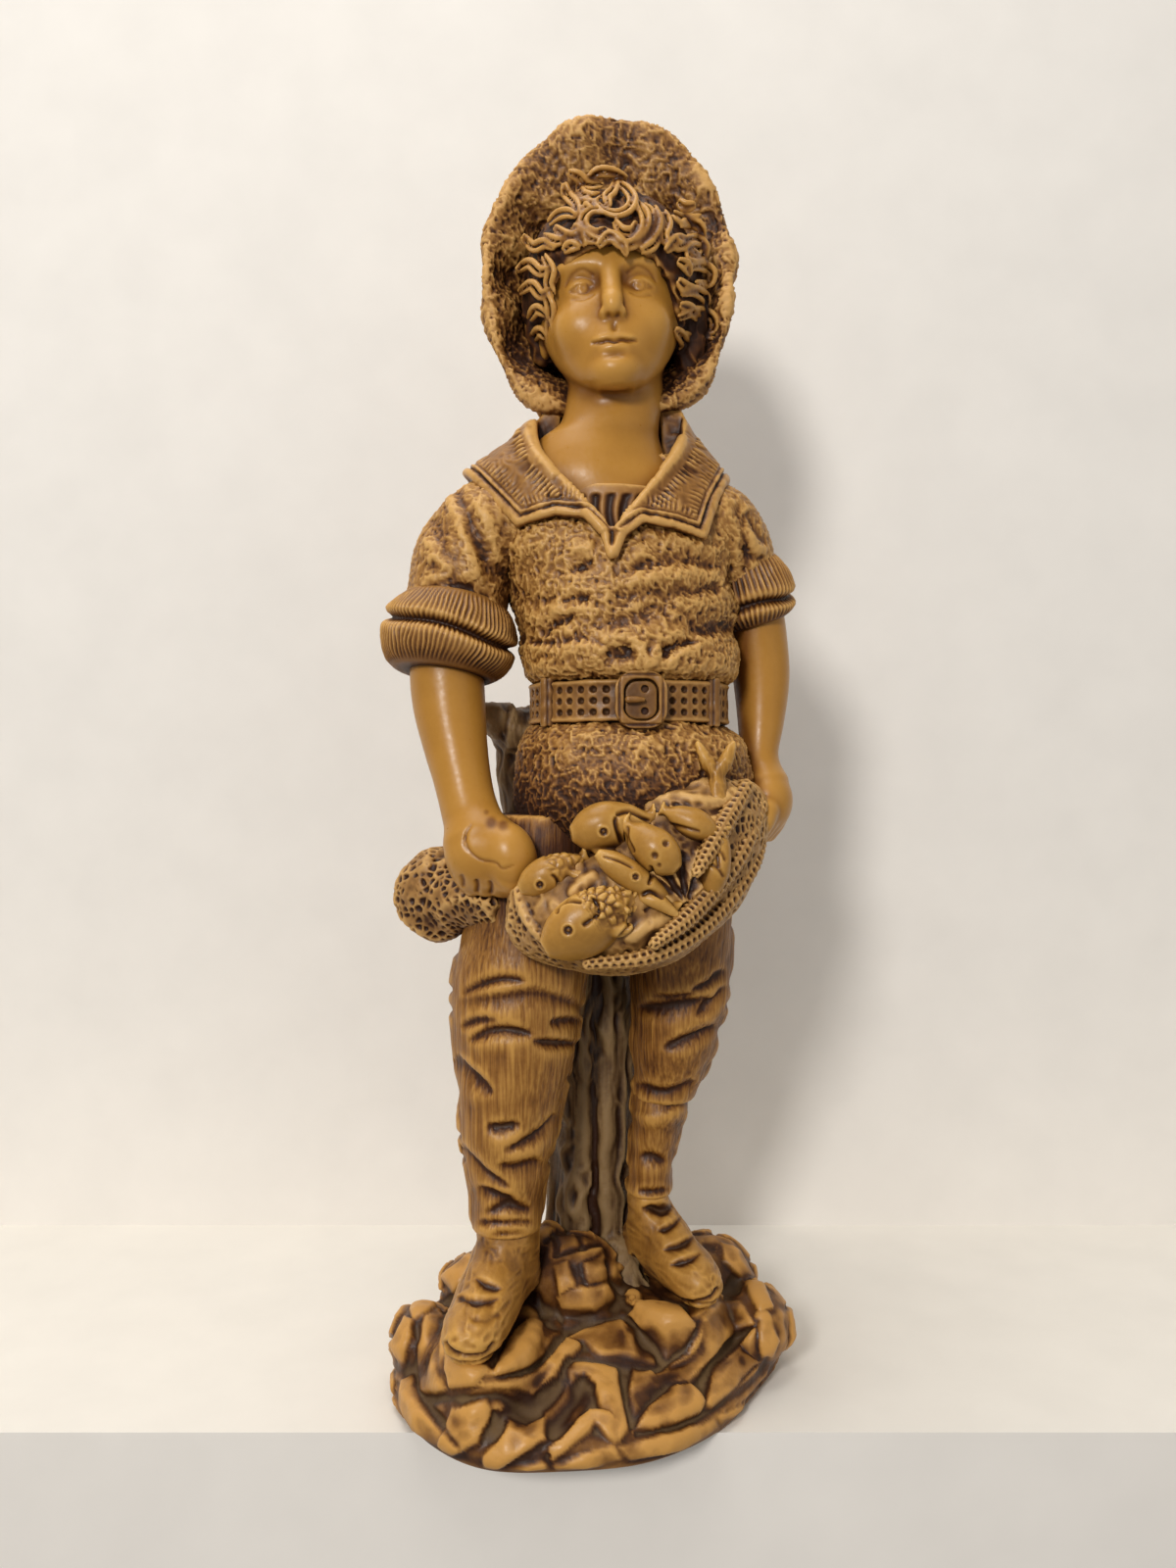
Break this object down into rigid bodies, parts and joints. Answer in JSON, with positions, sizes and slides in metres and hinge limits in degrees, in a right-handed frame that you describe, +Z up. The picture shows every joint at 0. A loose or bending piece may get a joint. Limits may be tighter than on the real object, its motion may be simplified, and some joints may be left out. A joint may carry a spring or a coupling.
{
  "type": "boy figurine",
  "caption": "Standing figurine of a boy in a hat and a belted sailor blouse on a rock against a tree stump, holding up a net of fish, cast in wood-coloured resin.",
  "frame": {"origin": "middle of the rock's flat underside", "axes": "+Z up through the hat, -Y the way the boy faces, +X the boy's left"},
  "size_m": [0.1058, 0.0858, 0.3304],
  "materials": {
    "skin": "smooth honey-coloured resin with a soft gloss",
    "fish": "smooth honey-coloured resin, darker between the fish",
    "hair": "ochre ridges over dark brown stain",
    "hat": "woolly tan resin with brown pits",
    "blouse": "woolly ochre resin stained brown in the folds",
    "collar": "ribbed ochre resin with a raised border",
    "belt": "ochre resin with dark punched holes",
    "trousers": "finely grooved brown and ochre resin",
    "boots": "ochre resin with dark creases",
    "net": "pitted tan resin",
    "stump": "grey-brown bark with dark grooves",
    "rock": "carved ochre facets with grey-brown grooves"
  },
  "bodies": {
    "root": {"right_arm": "skin", "left_arm": "skin", "head": "skin", "large_fish": "fish", "diving_fish": "fish", "small_fish": "fish", "slim_fish": "fish", "upper_fish": "fish", "side_fish": "fish", "curled_fish": "fish", "fish_tail": "fish", "shirt_front": "blouse", "buckle_frame": "belt", "belt_tip": "belt", "buckle_prong": "belt", "right_belt_keeper": "belt", "left_belt_keeper": "belt", "blouse_skirt": "blouse", "belt": "belt", "blouse": "blouse", "collar": "collar", "hair": "hair", "hat": "hat", "right_cuff": "blouse", "left_cuff": "blouse", "right_sleeve": "blouse", "left_sleeve": "blouse", "right_boot": "boots", "left_boot": "boots", "left_stocking": "trousers", "right_trouser_leg": "trousers", "left_trouser_leg": "trousers", "net_roll_1": "net", "net_roll_2": "net", "net_roll_3": "net", "net_sling": "net", "net_end": "net", "tree_stump": "stump", "rock_base": "rock"}
  },
  "joints": []
}
